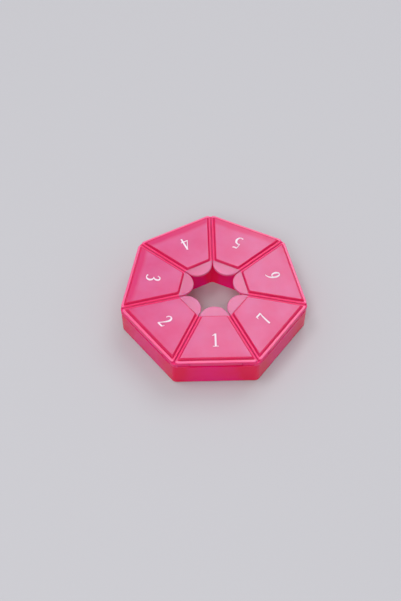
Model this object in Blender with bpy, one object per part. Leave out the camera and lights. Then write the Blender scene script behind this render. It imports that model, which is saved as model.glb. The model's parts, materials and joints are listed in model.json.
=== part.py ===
"""Weekly pill box: a seven-sided tray with seven compartments round an open
centre, each under its own lid, which turns on a pin along the outer edge.

Every sector is drawn pointing to -Y, with the ring's axis on Z, and is then
turned about that axis. "Out" is the distance from the ring's axis along the
sector's middle, and "across" is measured square to that. A "rounding" is the
length that a rounded corner takes from each of its two sides.
"""

import math

import bmesh
import bpy
from mathutils import Matrix, Vector

MM = 0.001
SIDES = 7
TURN = 2 * math.pi / SIDES
HALF_TURN = TURN / 2

# The ring and its tray
RING_RADIUS = 50.0 * MM
TRAY_TOP = 17.7 * MM
TRAY_DRAFT = 0.25 * MM
TRAY_CORNER_RADIUS = 3.0 * MM
TRAY_FOOT_RADIUS = 0.7 * MM
TRAY_RIM_RADIUS = 0.25 * MM
FLOOR_THICKNESS = 1.6 * MM
OUTER_WALL = 2.4 * MM
INNER_WALL = 1.6 * MM
DIVIDER_WALL = 1.6 * MM
HOLE_RADIUS = 18.3 * MM
HOLE_CORNER_RADIUS = 2.2 * MM
POCKET_CORNER_ROUNDING = 2.0 * MM
POCKET_FLOOR_RADIUS = 1.2 * MM

# The lids
LID_GAP = 0.3 * MM
LID_PLATE = 1.2 * MM
LID_EDGE_RADIUS = 0.45 * MM
LID_CORNER_RADIUS = 1.5 * MM
SEAM_GAP = 0.5 * MM
TAB_CENTRE_OUT = 18.65 * MM
PANEL_MARGIN = 1.25 * MM
PANEL_INNER_OUT = 17.0 * MM
PANEL_RISE = 1.2 * MM
PANEL_DRAFT = 0.7 * MM
PANEL_SKIN = 1.2 * MM
PANEL_CORNER_ROUNDING = 0.7 * MM
PANEL_EDGE_RADIUS = 0.25 * MM
SKIRT_DEPTH = 2.0 * MM
SKIRT_WALL = 1.0 * MM
SKIRT_CLEARANCE = 0.3 * MM
RECESS_CORNER_ROUNDING = 0.5 * MM

# The hinges
BARREL_RADIUS = 1.15 * MM
KNUCKLE_LENGTH = 26.4 * MM
KNUCKLE_END_GAP = 0.3 * MM
KNUCKLE_CLEARANCE = 0.3 * MM
CORNER_POST = 2.4 * MM
PIN_RADIUS = 0.5 * MM
PIN_CLEARANCE = 0.06 * MM
PIN_END_CHAMFER = 0.12 * MM
PIN_SINK = 0.9 * MM
PIN_END_GAP = 0.3 * MM
OPEN_LIMIT = math.radians(100)

# One overrun serves every cut and every joint between fused shapes, and points
# nearer than the match are one place
OVERRUN = 0.4 * MM
MATCH = 0.01 * MM

# Facets of the round stretches
TAB_STEPS = 22
CORNER_STEPS = 4
EDGE_STEPS = 2
BARREL_STEPS = 24
BORE_STEPS = 16
SMOOTH_ANGLE = math.radians(30)

# Sizes that follow from the ones above
APOTHEM = RING_RADIUS * math.cos(HALF_TURN)
HALF_SIDE = RING_RADIUS * math.sin(HALF_TURN)
BACK_REACH = RING_RADIUS - TRAY_CORNER_RADIUS * (1 / math.cos(HALF_TURN) - 1)
RING_PLACE = Vector((0, (APOTHEM - BACK_REACH) / 2, 0))
HINGE_OUT = APOTHEM - BARREL_RADIUS
HINGE_UP = TRAY_TOP - BARREL_RADIUS
LID_BOTTOM = TRAY_TOP + LID_GAP
LID_TOP = LID_BOTTOM + LID_PLATE
PANEL_TOP = LID_TOP + PANEL_RISE
NOSE_END = HALF_SIDE - CORNER_POST
HINGE_REACH = OUTER_WALL + BARREL_RADIUS
BORE_RADIUS = PIN_RADIUS + PIN_CLEARANCE
POCKET_OUT = APOTHEM - OUTER_WALL
POCKET_IN = HOLE_RADIUS * math.cos(HALF_TURN) + INNER_WALL


def clear_scene():
    """Removes whatever objects the scene starts with."""
    for item in list(bpy.data.objects):
        bpy.data.objects.remove(item, do_unlink=True)


def make_collection(name):
    """Adds a collection to the scene."""
    group = bpy.data.collections.new(name)
    bpy.context.scene.collection.children.link(group)
    return group


def make_material(name, colour, roughness, metallic=0.0):
    """Makes a Principled material in one colour."""
    material = bpy.data.materials.new(name)
    material.use_nodes = True
    shader = material.node_tree.nodes["Principled BSDF"]
    shader.inputs["Base Color"].default_value = (*colour, 1.0)
    shader.inputs["Roughness"].default_value = roughness
    shader.inputs["Metallic"].default_value = metallic
    material.diffuse_color = (*colour, 1.0)
    return material


def make_object(bm, name, group):
    """Turns a bmesh into an object of one collection."""
    bmesh.ops.recalc_face_normals(bm, faces=bm.faces)
    mesh = bpy.data.meshes.new(name)
    bm.to_mesh(mesh)
    bm.free()
    item = bpy.data.objects.new(name, mesh)
    group.objects.link(item)
    return item


def make_cutter(bm, name, group):
    """Turns a bmesh into a guide that shapes a part and isn't one itself."""
    item = make_object(bm, name, group)
    item.hide_render = True
    item.display_type = "WIRE"
    return item


def combine(item, other, operation):
    """Joins another shape to an object or cuts it away."""
    step = item.modifiers.new(f"{operation.title()} {other.name}", "BOOLEAN")
    step.operation = operation
    step.solver = "EXACT"
    step.object = other


def finished_mesh(item, name):
    """Gives the mesh of an object with its modifiers applied."""
    bpy.context.view_layer.update()
    depsgraph = bpy.context.evaluated_depsgraph_get()
    mesh = bpy.data.meshes.new_from_object(item.evaluated_get(depsgraph))
    mesh.name = name
    return mesh


def shade(mesh):
    """Shades the round stretches of a mesh smooth and keeps its edges sharp."""
    mesh.shade_smooth()
    mesh.set_sharp_from_angle(angle=SMOOTH_ANGLE)


def tangent_length(radius, turning):
    """Length that a rounding takes from each side of a corner."""
    return radius * math.tan(turning / 2)


def round_edges(bm, edges, offset, steps):
    """Rounds the given edges of a bmesh."""
    bmesh.ops.bevel(
        bm,
        geom=edges,
        offset=offset,
        offset_type="OFFSET",
        segments=steps,
        profile=0.5,
        affect="EDGES",
        clamp_overlap=True,
    )


def upright_edges(bm):
    """Edges that climb from one level of a prism to the other."""
    return [e for e in bm.edges if abs(e.verts[0].co.z - e.verts[1].co.z) > MATCH]


def level_edges(bm, height):
    """Edges of a prism that lie at one level."""
    return [e for e in bm.edges if all(abs(v.co.z - height) < MATCH for v in e.verts)]


def half_width(out, inset):
    """Half the width of a sector at a distance out, less an inset from its seam."""
    return out * math.tan(HALF_TURN) - inset / math.cos(HALF_TURN)


def wedge(bm, inner, outer, inset, low, high, draft=0.0):
    """Adds a sector's block, whose sides run along the seams.

    The block narrows all round by the draft from its low level to its high one.
    """
    corners = bmesh.ops.create_cube(bm, size=1.0)["verts"]
    for corner in corners:
        shrink = draft if corner.co.z > 0 else 0.0
        out = outer - shrink if corner.co.y < 0 else inner + shrink
        across = half_width(out, inset + shrink)
        corner.co = Vector(
            (
                math.copysign(across, corner.co.x),
                -out,
                high if corner.co.z > 0 else low,
            )
        )
    return corners


def prism(bm, outline, height):
    """Adds an upright prism with a closed outline given at its low level."""
    face = bm.faces.new([bm.verts.new(point) for point in outline])
    grown = bmesh.ops.extrude_face_region(bm, geom=[face])["geom"]
    moved = [v for v in grown if isinstance(v, bmesh.types.BMVert)]
    bmesh.ops.translate(bm, verts=moved, vec=(0, 0, height))


def rod(bm, radius, start, end, steps):
    """Adds a cylinder along X, from one place across the sector to another."""
    lie = Matrix.Translation(((start + end) / 2, 0, 0)) @ Matrix.Rotation(math.pi / 2, 4, "Y")
    bmesh.ops.create_cone(
        bm,
        cap_ends=True,
        segments=steps,
        radius1=radius,
        radius2=radius,
        depth=end - start,
        matrix=lie,
    )


def block(bm, low, high, turn=None):
    """Adds a box between two corners, turned about the hinge's axis if asked."""
    middle = (Vector(low) + Vector(high)) / 2
    size = Vector(high) - Vector(low)
    place = Matrix.Translation(middle) @ Matrix.Diagonal((*size, 1))
    bmesh.ops.create_cube(bm, size=1.0, matrix=(turn or Matrix()) @ place)


def hinge_place(index):
    """Middle of one sector's hinge axis, with X along the axis and -Y outwards."""
    place = Matrix.Translation(RING_PLACE) @ Matrix.Rotation(-index * TURN, 4, "Z")
    return place @ Matrix.Translation((0, -HINGE_OUT, HINGE_UP))


def sector_place(index):
    """Ring's axis, turned to face along one sector."""
    return Matrix.Rotation(-index * TURN, 4, "Z")


def lid_outline():
    """Outline of a lid's plate: its outer corners and the round finger tab."""
    inset = SEAM_GAP / 2
    radius = TAB_CENTRE_OUT * math.sin(HALF_TURN) - inset
    outer = half_width(APOTHEM, inset)
    points = [Vector((outer, -APOTHEM, LID_BOTTOM)), Vector((-outer, -APOTHEM, LID_BOTTOM))]
    for step in range(TAB_STEPS + 1):
        angle = math.pi - HALF_TURN - (math.pi - 2 * HALF_TURN) * step / TAB_STEPS
        across = radius * math.cos(angle)
        points.append(Vector((across, radius * math.sin(angle) - TAB_CENTRE_OUT, LID_BOTTOM)))
    points.reverse()
    return points


def lid_plate(group):
    """Flat plate of a lid, with its finger tab and its rounded outer corners."""
    bm = bmesh.new()
    prism(bm, lid_outline(), LID_PLATE)
    sharp_turn = math.pi / 2 + HALF_TURN
    corners = [e for e in upright_edges(bm) if e.verts[0].co.y < -APOTHEM + MATCH]
    round_edges(bm, corners, tangent_length(LID_CORNER_RADIUS, sharp_turn), CORNER_STEPS)
    round_edges(bm, level_edges(bm, LID_TOP), LID_EDGE_RADIUS, EDGE_STEPS)
    return make_object(bm, "lid_plate", group)


def lid_panel(group):
    """Raised panel on top of a lid, whose sides lean in from the plate up."""
    bm = bmesh.new()
    sunk = PANEL_DRAFT * OVERRUN / PANEL_RISE
    inner, inset = PANEL_INNER_OUT - sunk, PANEL_MARGIN - sunk
    draft = PANEL_DRAFT + sunk
    wedge(bm, inner, APOTHEM - inset, inset, LID_TOP - OVERRUN, PANEL_TOP, draft)
    round_edges(bm, upright_edges(bm), PANEL_CORNER_ROUNDING, CORNER_STEPS)
    round_edges(bm, level_edges(bm, PANEL_TOP), PANEL_EDGE_RADIUS, EDGE_STEPS)
    return make_cutter(bm, "lid_panel", group)


def skirt_reach():
    """Inner and outer ends of the skirt, clear of the tray as the lid swings up."""
    swing = math.hypot(OUTER_WALL - BARREL_RADIUS, TRAY_TOP - HINGE_UP)
    return POCKET_IN + SKIRT_CLEARANCE, HINGE_OUT - swing - SKIRT_CLEARANCE


def lid_skirt(group):
    """Skirt under a lid, which fits inside the mouth of its compartment."""
    bm = bmesh.new()
    inner, outer = skirt_reach()
    inset = DIVIDER_WALL / 2 + SKIRT_CLEARANCE
    wedge(bm, inner, outer, inset, LID_BOTTOM - SKIRT_DEPTH, LID_BOTTOM + OVERRUN)
    radius = POCKET_CORNER_ROUNDING - SKIRT_CLEARANCE
    round_edges(bm, upright_edges(bm), radius, CORNER_STEPS)
    return make_cutter(bm, "lid_skirt", group)


def lid_hollow(group):
    """Space inside the skirt, and the recess under the raised panel."""
    bm = bmesh.new()
    inner, outer = skirt_reach()
    inset = DIVIDER_WALL / 2 + SKIRT_CLEARANCE + SKIRT_WALL
    mouth = LID_BOTTOM - SKIRT_DEPTH - OVERRUN
    wedge(bm, inner + SKIRT_WALL, outer - SKIRT_WALL, inset, mouth, LID_BOTTOM)
    radius = POCKET_CORNER_ROUNDING - SKIRT_CLEARANCE - SKIRT_WALL
    round_edges(bm, upright_edges(bm), radius, CORNER_STEPS)
    return make_cutter(bm, "lid_hollow", group)


def lid_recess(group):
    """Recess under the raised panel, which leaves the panel its skin."""
    bm = bmesh.new()
    inner, outer = skirt_reach()
    inset = PANEL_MARGIN + PANEL_DRAFT + PANEL_SKIN
    inner = max(inner + SKIRT_WALL, PANEL_INNER_OUT + PANEL_DRAFT + PANEL_SKIN)
    outer = min(outer - SKIRT_WALL, APOTHEM - inset)
    wedge(bm, inner, outer, inset, LID_BOTTOM - OVERRUN, PANEL_TOP - PANEL_SKIN)
    round_edges(bm, upright_edges(bm), RECESS_CORNER_ROUNDING, CORNER_STEPS)
    return make_cutter(bm, "lid_recess", group)


def lid_knuckle(group):
    """Long middle knuckle, which hangs from the plate down round the pin."""
    bm = bmesh.new()
    half = KNUCKLE_LENGTH / 2
    points = []
    for step in range(BARREL_STEPS // 2 + 1):
        angle = -math.pi * step / (BARREL_STEPS // 2)
        points.append((BARREL_RADIUS * math.cos(angle), BARREL_RADIUS * math.sin(angle)))
    rise = LID_BOTTOM + OVERRUN - HINGE_UP
    points.append((-BARREL_RADIUS, rise))
    points.append((BARREL_RADIUS, rise))
    prism(bm, [Vector((away, up, -half)) for away, up in points], KNUCKLE_LENGTH)
    stand = Matrix(((0, 0, 1, 0), (1, 0, 0, -HINGE_OUT), (0, 1, 0, HINGE_UP), (0, 0, 0, 1)))
    bmesh.ops.transform(bm, matrix=stand, verts=bm.verts)
    return make_cutter(bm, "lid_knuckle", group)


def lid_bore(group):
    """Bore for the pin, right through the lid's knuckle."""
    bm = bmesh.new()
    half = KNUCKLE_LENGTH / 2 + OVERRUN
    rod(bm, BORE_RADIUS, -half, half, BORE_STEPS)
    bmesh.ops.translate(bm, verts=bm.verts, vec=(0, -HINGE_OUT, HINGE_UP))
    return make_cutter(bm, "lid_bore", group)


def lid_mesh(guides):
    """One lid, with its origin moved onto its hinge's axis."""
    plate = lid_plate(guides)
    for maker in (lid_panel, lid_skirt, lid_knuckle):
        combine(plate, maker(guides), "UNION")
    for maker in (lid_hollow, lid_recess, lid_bore):
        combine(plate, maker(guides), "DIFFERENCE")
    mesh = finished_mesh(plate, "lid")
    bpy.data.objects.remove(plate, do_unlink=True)
    mesh.transform(Matrix.Translation((0, HINGE_OUT, -HINGE_UP)))
    shade(mesh)
    return mesh


def pin_span():
    """Ends of a pin across its sector: one blind in the tray, one by the corner."""
    mouth = HALF_SIDE + BARREL_RADIUS / math.tan(TURN)
    return -NOSE_END, mouth - PIN_SINK


def pin_mesh():
    """One hinge pin, chamfered at both ends."""
    bm = bmesh.new()
    start, end = pin_span()
    rod(bm, PIN_RADIUS, start, end, BORE_STEPS)
    rims = [e for e in bm.edges if abs(e.verts[0].co.x - e.verts[1].co.x) < MATCH]
    round_edges(bm, rims, PIN_END_CHAMFER, 1)
    bmesh.ops.recalc_face_normals(bm, faces=bm.faces)
    mesh = bpy.data.meshes.new("hinge_pin")
    bm.to_mesh(mesh)
    bm.free()
    shade(mesh)
    return mesh


def tray_body(group):
    """Solid seven-sided block of the tray, with a corner at the back."""
    bm = bmesh.new()
    bmesh.ops.create_cone(
        bm,
        cap_ends=True,
        segments=SIDES,
        radius1=RING_RADIUS - TRAY_DRAFT / math.cos(HALF_TURN),
        radius2=RING_RADIUS,
        depth=TRAY_TOP,
        matrix=Matrix.Translation((0, 0, TRAY_TOP / 2)),
    )
    corner = tangent_length(TRAY_CORNER_RADIUS, TURN)
    round_edges(bm, upright_edges(bm), corner, CORNER_STEPS + 1)
    round_edges(bm, level_edges(bm, 0), TRAY_FOOT_RADIUS, CORNER_STEPS - 1)
    round_edges(bm, level_edges(bm, TRAY_TOP), TRAY_RIM_RADIUS, 1)
    return make_object(bm, "tray", group)


def tray_hole(group):
    """Seven-sided hole in the middle, with its corners on the seams."""
    bm = bmesh.new()
    bmesh.ops.create_cone(
        bm,
        cap_ends=True,
        segments=SIDES,
        radius1=HOLE_RADIUS,
        radius2=HOLE_RADIUS,
        depth=TRAY_TOP + 2 * OVERRUN,
        matrix=Matrix.Translation((0, 0, TRAY_TOP / 2)),
    )
    corner = tangent_length(HOLE_CORNER_RADIUS, TURN)
    round_edges(bm, upright_edges(bm), corner, EDGE_STEPS + 1)
    return make_cutter(bm, "tray_hole", group)


def tray_pocket(index, group):
    """Room of one compartment, open at the top."""
    bm = bmesh.new()
    wedge(bm, POCKET_IN, POCKET_OUT, DIVIDER_WALL / 2, FLOOR_THICKNESS, TRAY_TOP + OVERRUN)
    round_edges(bm, upright_edges(bm), POCKET_CORNER_ROUNDING, CORNER_STEPS)
    round_edges(bm, level_edges(bm, FLOOR_THICKNESS), POCKET_FLOOR_RADIUS, EDGE_STEPS + 1)
    bmesh.ops.transform(bm, matrix=sector_place(index), verts=bm.verts)
    return make_cutter(bm, f"tray_pocket_{index + 1}", group)


def tray_bay(index, group):
    """Bay in the outer wall for the lid's knuckle.

    Its floor leans to meet the knuckle's flat front as the lid reaches its stop.
    """
    bm = bmesh.new()
    half = KNUCKLE_LENGTH / 2 + KNUCKLE_END_GAP
    depth = BARREL_RADIUS + KNUCKLE_CLEARANCE
    lean = Matrix.Rotation(OPEN_LIMIT - math.pi / 2, 4, "X")
    block(bm, (-half, -HINGE_REACH, -depth), (half, HINGE_REACH, HINGE_REACH), lean)
    to_hinge = sector_place(index) @ Matrix.Translation((0, -HINGE_OUT, HINGE_UP))
    bmesh.ops.transform(bm, matrix=to_hinge, verts=bm.verts)
    return make_cutter(bm, f"tray_bay_{index + 1}", group)


def tray_nose(index, end, group):
    """Cut that leaves the round nose of one of the tray's two knuckles."""
    bm = bmesh.new()
    near = KNUCKLE_LENGTH / 2
    depth = BARREL_RADIUS + KNUCKLE_CLEARANCE
    across = sorted((end * near, end * NOSE_END))
    block(bm, (across[0], -HINGE_REACH, -depth), (across[1], 0, HINGE_REACH))
    cut = make_cutter(bm, "nose_space", group)
    bm = bmesh.new()
    rod(bm, BARREL_RADIUS, across[0] - OVERRUN, across[1] + OVERRUN, BARREL_STEPS)
    barrel = make_cutter(bm, "nose_barrel", group)
    combine(cut, barrel, "DIFFERENCE")
    mesh = finished_mesh(cut, f"tray_nose_{index + 1}")
    bpy.data.objects.remove(cut, do_unlink=True)
    bpy.data.objects.remove(barrel, do_unlink=True)
    to_hinge = sector_place(index) @ Matrix.Translation((0, -HINGE_OUT, HINGE_UP))
    mesh.transform(to_hinge)
    bm = bmesh.new()
    bm.from_mesh(mesh)
    return make_cutter(bm, mesh.name, group)


def tray_bore(index, group):
    """Bore for one pin, which starts at a corner and ends blind."""
    bm = bmesh.new()
    start, end = pin_span()
    rod(bm, BORE_RADIUS, start - PIN_END_GAP, end + PIN_SINK + BARREL_RADIUS, BORE_STEPS)
    to_hinge = sector_place(index) @ Matrix.Translation((0, -HINGE_OUT, HINGE_UP))
    bmesh.ops.transform(bm, matrix=to_hinge, verts=bm.verts)
    return make_cutter(bm, f"tray_bore_{index + 1}", group)


def build_tray(parts, guides, ring, material):
    """The tray with its compartments, hole, hinge bays, knuckles and bores."""
    tray = tray_body(parts)
    combine(tray, tray_hole(guides), "DIFFERENCE")
    for index in range(SIDES):
        combine(tray, tray_pocket(index, guides), "DIFFERENCE")
        combine(tray, tray_bay(index, guides), "DIFFERENCE")
        combine(tray, tray_nose(index, -1, guides), "DIFFERENCE")
        combine(tray, tray_nose(index, 1, guides), "DIFFERENCE")
        combine(tray, tray_bore(index, guides), "DIFFERENCE")
    tray.data.materials.append(material)
    shade(tray.data)
    tray.parent = ring
    for guide in guides.objects:
        guide.parent = ring


def build_lids(parts, guides, materials):
    """Seven lids and seven pins, each with its origin on its hinge's axis."""
    lid = lid_mesh(guides)
    pin = pin_mesh()
    for index in range(SIDES):
        for kind, shared in (("lid", lid), ("hinge_pin", pin)):
            name = f"{kind}_{index + 1}"
            mesh = shared.copy()
            mesh.name = name
            mesh.materials.clear()
            mesh.materials.append(materials[kind])
            item = bpy.data.objects.new(name, mesh)
            item.matrix_world = hinge_place(index)
            parts.objects.link(item)


def main():
    """Builds the whole pill box."""
    clear_scene()
    parts = make_collection("weekly_pill_box")
    guides = make_collection("guides")
    materials = {
        "tray": make_material("tray_plastic", (0.60, 0.03, 0.13), 0.15),
        "lid": make_material("lid_plastic", (0.86, 0.20, 0.40), 0.12),
        "hinge_pin": make_material("pin_plastic", (0.70, 0.08, 0.22), 0.2),
    }
    ring = bpy.data.objects.new("ring_axis", None)
    parts.objects.link(ring)
    build_tray(parts, guides, ring, materials["tray"])
    ring.location = RING_PLACE
    build_lids(parts, guides, materials)


main()
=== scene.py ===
"""Dressed model of a weekly pill box of tinted clear plastic.

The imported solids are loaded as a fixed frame. The tray and the lids are then
modelled again at the same sizes with every edge rounded, numbered in white ink,
and given a tinted, faintly milky plastic. All shapes are drawn in millimetres
for the sector that faces -Y, and are brought to metres as they are placed.
"""

import json
import logging
import math
from dataclasses import dataclass, field
from enum import Enum

import bmesh
import bpy
from bmesh.types import BMesh, BMVert
from bpy.types import ID, Material, Mesh, Node, NodeOutputs, NodeSocket, NodeTree, Object
from mathutils import Matrix, Vector


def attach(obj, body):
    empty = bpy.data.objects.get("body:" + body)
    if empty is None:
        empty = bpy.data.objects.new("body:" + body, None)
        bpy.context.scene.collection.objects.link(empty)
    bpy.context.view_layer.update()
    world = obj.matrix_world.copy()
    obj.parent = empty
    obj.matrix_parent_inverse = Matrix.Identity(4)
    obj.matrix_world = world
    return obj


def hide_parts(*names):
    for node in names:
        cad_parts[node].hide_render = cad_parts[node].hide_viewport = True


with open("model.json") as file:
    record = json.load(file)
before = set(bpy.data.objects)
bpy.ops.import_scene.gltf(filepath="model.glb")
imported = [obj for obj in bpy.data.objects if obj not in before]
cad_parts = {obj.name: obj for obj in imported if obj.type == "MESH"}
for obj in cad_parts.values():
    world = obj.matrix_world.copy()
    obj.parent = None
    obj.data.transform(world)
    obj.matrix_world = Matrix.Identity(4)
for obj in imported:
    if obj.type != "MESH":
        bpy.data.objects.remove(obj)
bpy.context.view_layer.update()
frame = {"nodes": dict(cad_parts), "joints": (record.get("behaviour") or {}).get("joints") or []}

LOG = logging.getLogger("pill_box")
MM = 0.001
SIDES = 7
TURN = 2 * math.pi / SIDES
HALF_TURN = TURN / 2

# In millimetres: how far shapes run into one another, what counts as level, and a sliver.
OVERRUN = 0.4
MATCH = 0.005
SPECK = 0.002

# How far up normals point: at most for upright faces, at least for rising and level ones.
UPRIGHT = 0.05
RISING = 0.5
LEVEL_UP = 0.95

SMOOTH_ANGLE = math.radians(32)
CORNER_STEPS = 8
EDGE_STEPS = 3
CIRCULAR_PROFILE = 0.5
FACE_WEIGHT = 100


class Cut(Enum):
    """How one shape changes another."""

    JOIN = "UNION"
    REMOVE = "DIFFERENCE"


class TrayZone(Enum):
    """The parts of the tray that differ in finish, which are copies of one plastic with painted light.
    """

    WALL = 0
    HOLE = 1
    TOP = 2


class LidZone(Enum):
    """The parts of a lid that differ in finish, most of them copies of one plastic with painted light
    and shade.
    """

    PANEL = 0
    TAB = 1
    BORDER = 2
    RIM = 3
    STEP = 4


def tangent_length(radius: float, turning: float) -> float:
    """Gives the length that a rounding takes from each side of its corner."""
    return radius * math.tan(turning / 2)


def half_width(out: float, inset: float) -> float:
    """Gives half a sector's width at a distance out, less an inset from its seam."""
    return out * math.tan(HALF_TURN) - inset / math.cos(HALF_TURN)


def round_edges(bm: BMesh, edges: list, offset: float, steps: int) -> None:
    """Rounds some edges of a bmesh.

    Args:
        bm: The shape.
        edges: The edges to round.
        offset: What the rounding takes from each side, in millimetres.
        steps: How many facets the rounding has.
    """
    bmesh.ops.bevel(
        bm, geom=edges, offset=offset, offset_type="OFFSET", segments=steps, affect="EDGES",
        profile=CIRCULAR_PROFILE, clamp_overlap=True, material=-1,
    )


def upright_edges(bm: BMesh) -> list:
    """Gives the edges of an upright shape that climb from one level to the other."""
    return [e for e in bm.edges if abs(e.verts[0].co.z - e.verts[1].co.z) > MATCH]


def level_edges(bm: BMesh, height: float) -> list:
    """Gives the edges of a shape that lie at one height."""
    return [e for e in bm.edges if all(abs(v.co.z - height) < MATCH for v in e.verts)]


def wedge(
    out: tuple[float, float], inset: float, up: tuple[float, float], rounding: float, draft: float = 0.0
) -> BMesh:
    """Makes a sector's block, whose sides run along the seams.

    Args:
        out: Distances out of its inner and outer ends.
        inset: How far its sides stand in from the seams.
        up: Heights of its foot and its top.
        rounding: What the rounding of its corners takes from each side.
        draft: How much it narrows all round from foot to top.

    Returns:
        The block.
    """
    bm = bmesh.new()
    for corner in bmesh.ops.create_cube(bm, size=1.0)["verts"]:
        shrink = draft if corner.co.z > 0 else 0.0
        away = out[1] - shrink if corner.co.y < 0 else out[0] + shrink
        across = half_width(away, inset + shrink)
        height = up[1] if corner.co.z > 0 else up[0]
        corner.co = Vector((math.copysign(across, corner.co.x), -away, height))
    round_edges(bm, upright_edges(bm), rounding, CORNER_STEPS)
    return bm


def rod(bm: BMesh, radius: float, span: tuple[float, float], steps: int) -> None:
    """Adds a cylinder along X.

    Args:
        bm: The shape to add to.
        radius: The cylinder's radius.
        span: Where it starts and ends.
        steps: How many sides it has.
    """
    lie = Matrix.Translation((sum(span) / 2, 0, 0)) @ Matrix.Rotation(math.pi / 2, 4, "Y")
    bmesh.ops.create_cone(
        bm, cap_ends=True, segments=steps, radius1=radius, radius2=radius,
        depth=span[1] - span[0], matrix=lie,
    )


def box(bm: BMesh, low: tuple, high: tuple) -> None:
    """Adds a box.

    Args:
        bm: The shape to add to.
        low: Its lowest corner.
        high: Its highest corner.
    """
    size = Vector(high) - Vector(low)
    place = Matrix.Translation((Vector(high) + Vector(low)) / 2)
    bmesh.ops.create_cube(bm, size=1.0, matrix=place @ Matrix.Diagonal((*size, 1)))


def draw_arc(bm: BMesh, start: Vector, centre: Vector, axis: tuple, angle: float, steps: int) -> list:
    """Draws an arc of edges.

    Args:
        bm: The empty shape to draw in.
        start: Where the arc starts.
        centre: The middle of its circle.
        axis: What it turns about.
        angle: How far it turns.
        steps: How many edges it has.

    Returns:
        The arc's two ends.
    """
    first = bm.verts.new(start)
    bmesh.ops.spin(
        bm, geom=[first], cent=centre, axis=axis, angle=angle, steps=steps, use_merge=False
    )
    return [v for v in bm.verts if len(v.link_edges) == 1]


def raise_faces(bm: BMesh, faces: list, rise: Vector) -> None:
    """Extrudes faces into a solid."""
    grown = bmesh.ops.extrude_face_region(bm, geom=faces)["geom"]
    bmesh.ops.translate(bm, verts=[v for v in grown if isinstance(v, BMVert)], vec=rise)


def extrude_outline(bm: BMesh, ends: list, outer: list, rise: Vector) -> None:
    """Closes an arc with three straight sides, fills the outline and extrudes it.

    Args:
        bm: The shape, which holds the arc and two corners more.
        ends: The arc's two ends.
        outer: The two corners, in the same order.
        rise: The way and distance of the extrusion.
    """
    for pair in ((ends[0], outer[0]), (outer[0], outer[1]), (outer[1], ends[1])):
        bm.edges.new(pair)
    raise_faces(bm, bmesh.ops.contextual_create(bm, geom=bm.edges[:])["faces"], rise)
    bmesh.ops.recalc_face_normals(bm, faces=bm.faces)


def add_object(name: str, data: ID) -> Object:
    """Adds an object to the scene.

    Args:
        name: The object's name.
        data: Its mesh, camera or lamp.

    Returns:
        The new object, at the origin.
    """
    item = bpy.data.objects.new(name, data)
    bpy.context.scene.collection.objects.link(item)
    return item


def to_object(bm: BMesh, name: str) -> Object:
    """Turns a bmesh into an object and frees it.

    Args:
        bm: The shape.
        name: The object's name.

    Returns:
        The new object, at the origin.
    """
    bmesh.ops.recalc_face_normals(bm, faces=bm.faces)
    mesh = bpy.data.meshes.new(name)
    bm.to_mesh(mesh)
    bm.free()
    return add_object(name, mesh)


def carve(item: Object, steps: list[tuple[Cut, Object]]) -> Mesh:
    """Joins shapes to an object or cuts them away, and removes all of them.

    Args:
        item: The object to start from.
        steps: The shapes in order, each with how it is used.

    Returns:
        The finished mesh.
    """
    for cut, other in steps:
        step = item.modifiers.new(other.name, "BOOLEAN")
        step.operation = cut.value
        step.solver = "EXACT"
        step.object = other
    bpy.context.view_layer.update()
    ready = item.evaluated_get(bpy.context.evaluated_depsgraph_get())
    mesh = bpy.data.meshes.new_from_object(ready)
    for used in [item] + [other for _, other in steps]:
        bpy.data.objects.remove(used, do_unlink=True)
    bm = bmesh.new()
    bm.from_mesh(mesh)
    bmesh.ops.remove_doubles(bm, verts=bm.verts, dist=SPECK)
    bmesh.ops.dissolve_degenerate(bm, dist=SPECK, edges=bm.edges)
    bm.to_mesh(mesh)
    bm.free()
    mesh.shade_smooth()
    mesh.set_sharp_from_angle(angle=SMOOTH_ANGLE)
    return mesh


def place_piece(mesh: Mesh, name: str, turn: Matrix, finishes: list[Material]) -> Object:
    """Makes a piece from a mesh drawn in millimetres.

    Args:
        mesh: The mesh, which is copied.
        name: The piece's name.
        turn: Where the piece goes, in metres.
        finishes: The piece's materials, in the order that its faces count them.

    Returns:
        The piece, with its place in its mesh.
    """
    own = mesh.copy()
    own.name = name
    own.transform(turn @ Matrix.Scale(MM, 4))
    kept = [face.material_index for face in own.polygons]
    own.materials.clear()
    for finish in finishes:
        own.materials.append(finish)
    own.polygons.foreach_set("material_index", kept)
    piece = add_object(name, own)
    even = piece.modifiers.new("even_flats", "WEIGHTED_NORMAL")
    even.keep_sharp = True
    even.weight = FACE_WEIGHT
    LOG.info("made %s with %d faces", name, len(own.polygons))
    return piece


@dataclass(frozen=True)
class Ring:
    """Where the ring of sectors stands, read from the frame's hinges."""

    hinge_out: float
    hinge_up: float
    centre: Vector

    @classmethod
    def from_frame(cls) -> "Ring":
        """Reads the ring's centre and the hinges' place from the joints.

        Returns:
            The ring.
        """
        places = [Vector(joint["pos_m"]) for joint in frame["joints"]]
        centre = sum(places, Vector()) / len(places)
        out = (places[0] - centre).length / MM
        return cls(out, centre.z / MM, Vector((centre.x, centre.y, 0)))

    def sector(self, index: int) -> Matrix:
        """Gives the place of the ring's axis, turned to face along a sector."""
        return Matrix.Translation(self.centre) @ Matrix.Rotation(-index * TURN, 4, "Z")


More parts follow.
